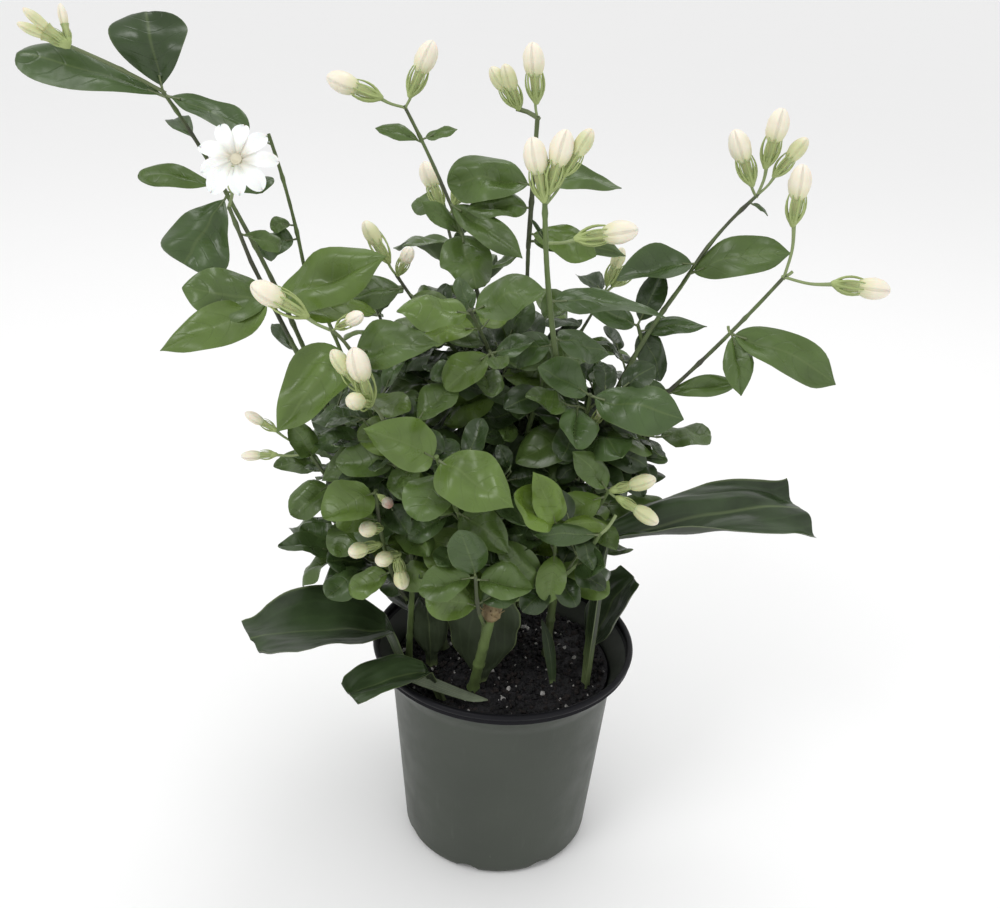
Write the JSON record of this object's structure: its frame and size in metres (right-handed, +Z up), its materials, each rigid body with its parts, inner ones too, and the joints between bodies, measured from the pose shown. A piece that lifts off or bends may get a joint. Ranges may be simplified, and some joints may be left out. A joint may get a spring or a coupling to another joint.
{
  "type": "potted flowering jasmine shrub",
  "caption": "Bushy flowering jasmine with long leafy shoots, white buds and an open flower, in a plain flared nursery pot filled with soil.",
  "frame": {"origin": "centre of the pot's flat underside", "axes": "+Z up, -Y towards the viewer of the picture's front, +X to the viewer's right"},
  "size_m": [0.3262, 0.1895, 0.3493],
  "materials": {
    "pot_plastic": "dark grey-green thin moulded plastic with a soft sheen",
    "peat": "near-black moist potting soil with white crumbs",
    "stem_bark": "thin green-brown bark",
    "leaf_green": "semi-gloss green leaves, with cream buds and a white flower",
    "old_leaf_green": "glossy dark green, wrinkled lengthwise"
  },
  "bodies": {
    "root": {"back_left_shoot": "leaf_green", "back_right_shoot": "leaf_green", "back_shoot": "leaf_green", "basal_leaf_back": "old_leaf_green", "basal_leaf_front": "old_leaf_green", "basal_leaf_inner": "old_leaf_green", "basal_leaf_left": "old_leaf_green", "basal_leaf_left_back": "old_leaf_green", "basal_leaf_low_left": "old_leaf_green", "basal_leaf_right_back": "old_leaf_green", "basal_leaf_right_blade": "old_leaf_green", "basal_leaf_right_stalk": "old_leaf_green", "bough_left_back": "stem_bark", "bough_left_flower": "stem_bark", "bough_left_long": "stem_bark", "bough_right_high": "stem_bark", "bough_right_low": "stem_bark", "bough_top_front": "stem_bark", "bough_top_left": "stem_bark", "bough_top_middle": "stem_bark", "centre_front_shoot": "leaf_green", "front_light_shoot": "leaf_green", "left_back_shoot": "leaf_green", "left_bud_shoot": "leaf_green", "left_flower_shoot": "leaf_green", "left_front_shoot": "leaf_green", "left_long_shoot": "leaf_green", "left_low_shoot": "leaf_green", "left_mid_shoot": "leaf_green", "left_node_shoot": "leaf_green", "pot": "pot_plastic", "right_front_shoot": "leaf_green", "right_high_node_shoot": "leaf_green", "right_high_shoot": "leaf_green", "right_inner_shoot": "leaf_green", "right_low_shoot": "leaf_green", "soil": "peat", "stem_back": "stem_bark", "stem_back_spray_10": "leaf_green", "stem_back_spray_9": "leaf_green", "stem_centre": "stem_bark", "stem_centre_spray_3": "leaf_green", "stem_centre_spray_4": "leaf_green", "stem_centre_spray_5": "leaf_green", "stem_centre_spray_6": "leaf_green", "stem_centre_spray_7": "leaf_green", "stem_front": "stem_bark", "stem_left": "stem_bark", "stem_left_green": "stem_bark", "stem_left_spray_1": "leaf_green", "stem_left_spray_2": "leaf_green", "stem_right": "stem_bark", "stem_right_spray_8": "leaf_green", "stub_left_shoot": "leaf_green", "stub_shoot": "leaf_green", "top_front_shoot": "leaf_green", "top_inner_shoot": "leaf_green", "top_left_shoot": "leaf_green", "top_low_shoot": "leaf_green", "top_middle_shoot": "leaf_green"}
  },
  "joints": []
}
